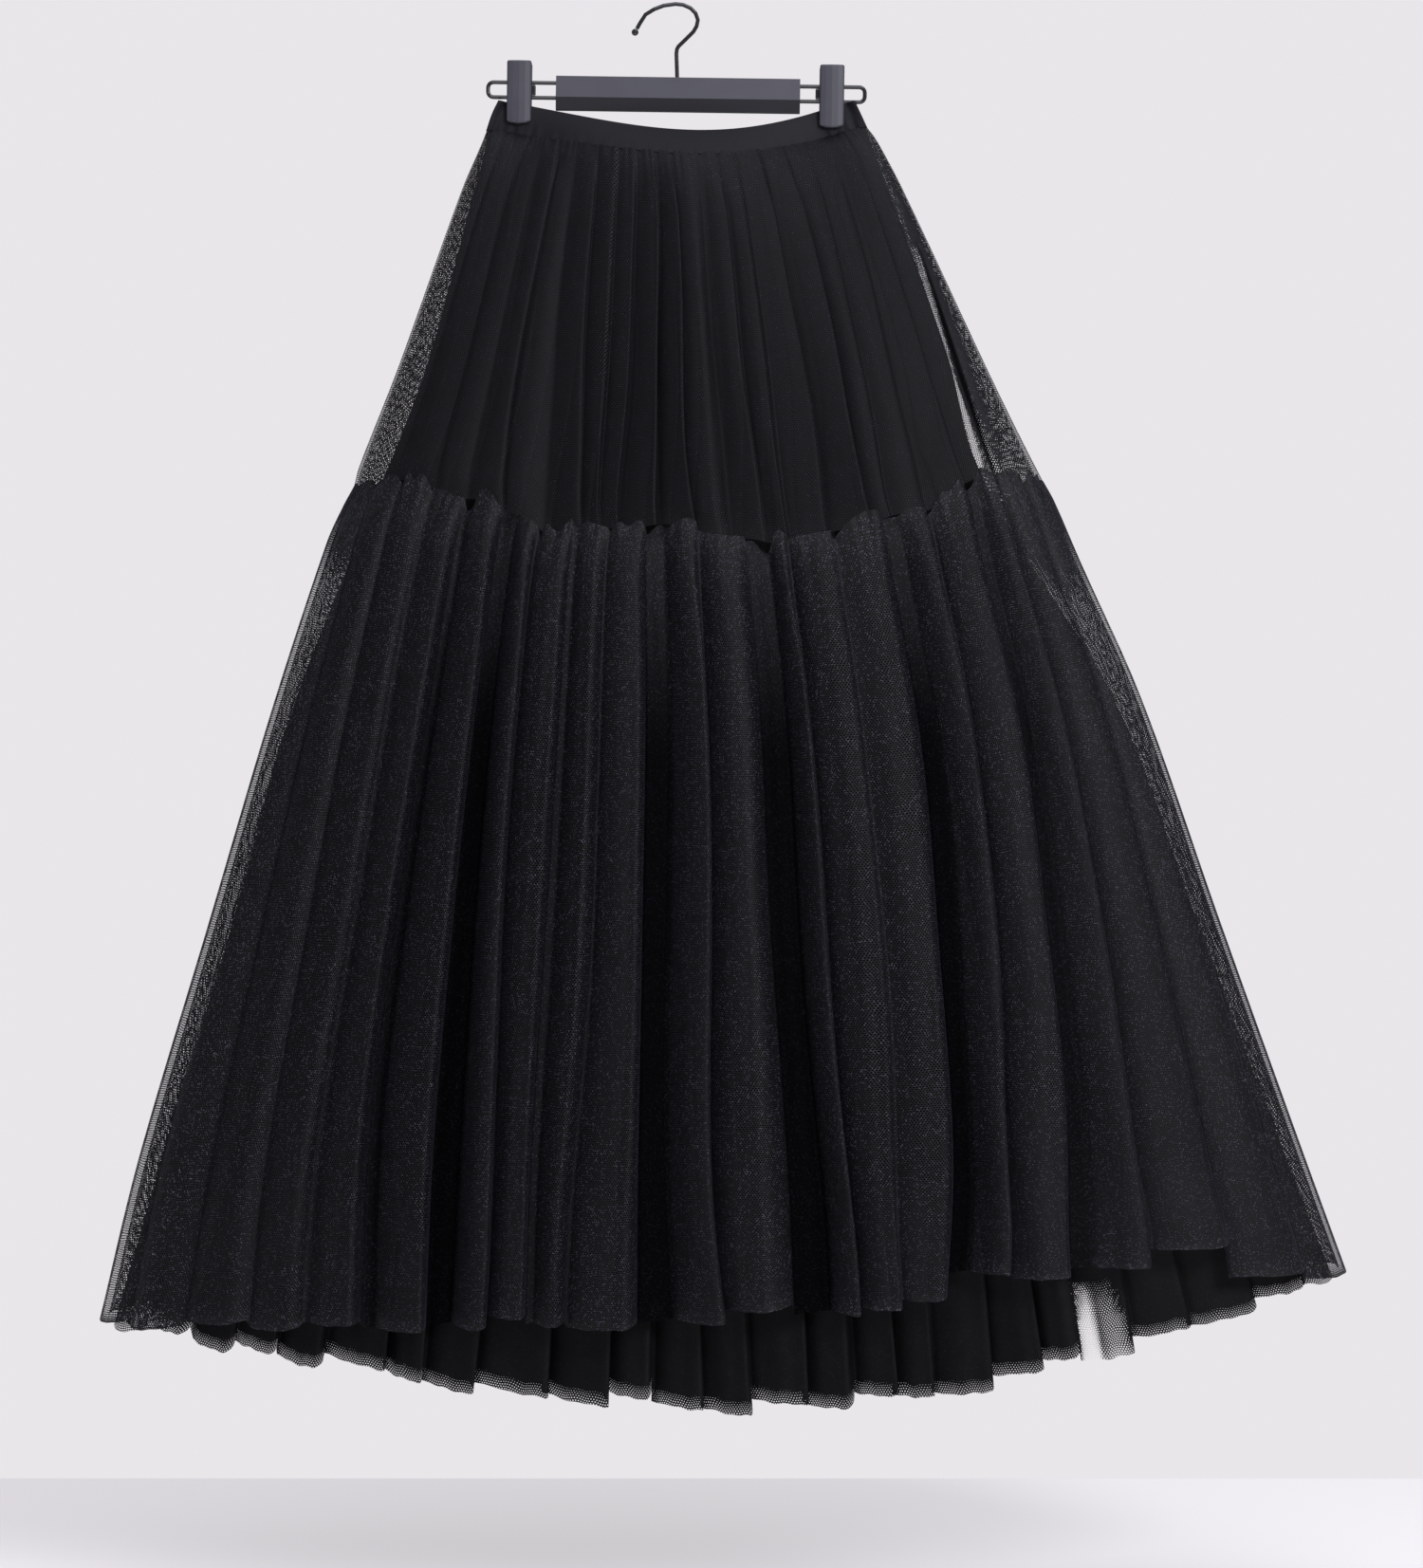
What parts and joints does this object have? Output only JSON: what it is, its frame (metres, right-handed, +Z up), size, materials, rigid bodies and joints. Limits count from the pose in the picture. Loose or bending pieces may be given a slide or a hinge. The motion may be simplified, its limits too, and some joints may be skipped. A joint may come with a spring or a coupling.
{
  "type": "tulle skirt on clip hanger",
  "caption": "Long tiered, gathered black tulle skirt with a plain waistband, hanging from a plain clip hanger by its wire hook.",
  "frame": {"origin": "the highest point inside the hanger's hook, where a rail or wall hook carries it", "axes": "+Z up, +Y from the front of the skirt to its back, +X to the right of a viewer who faces the front"},
  "size_m": [0.8877, 0.2864, 1.0053],
  "materials": {
    "net": "fine black nylon net, sheer in one layer",
    "lining": "opaque black woven polyester",
    "band": "matte black woven band",
    "wire": "glossy blackened steel wire",
    "plastic": "matte charcoal moulded plastic"
  },
  "bodies": {
    "root": {"waistband": "band", "upper_tier_front": "net", "upper_tier_back": "net", "lower_tier_front": "net", "lower_tier_back": "net", "under_layer_front": "net", "under_layer_back": "net", "lining_front": "lining", "lining_back": "lining", "hanger_hook": "wire", "hanger_hook_tip": "wire", "hanger_wire_loop": "wire", "hanger_bar": "plastic", "clip_left_front_jaw": "plastic", "clip_left_back_jaw": "plastic", "clip_left_spring_block": "wire", "clip_right_front_jaw": "plastic", "clip_right_back_jaw": "plastic", "clip_right_spring_block": "wire"}
  },
  "joints": []
}
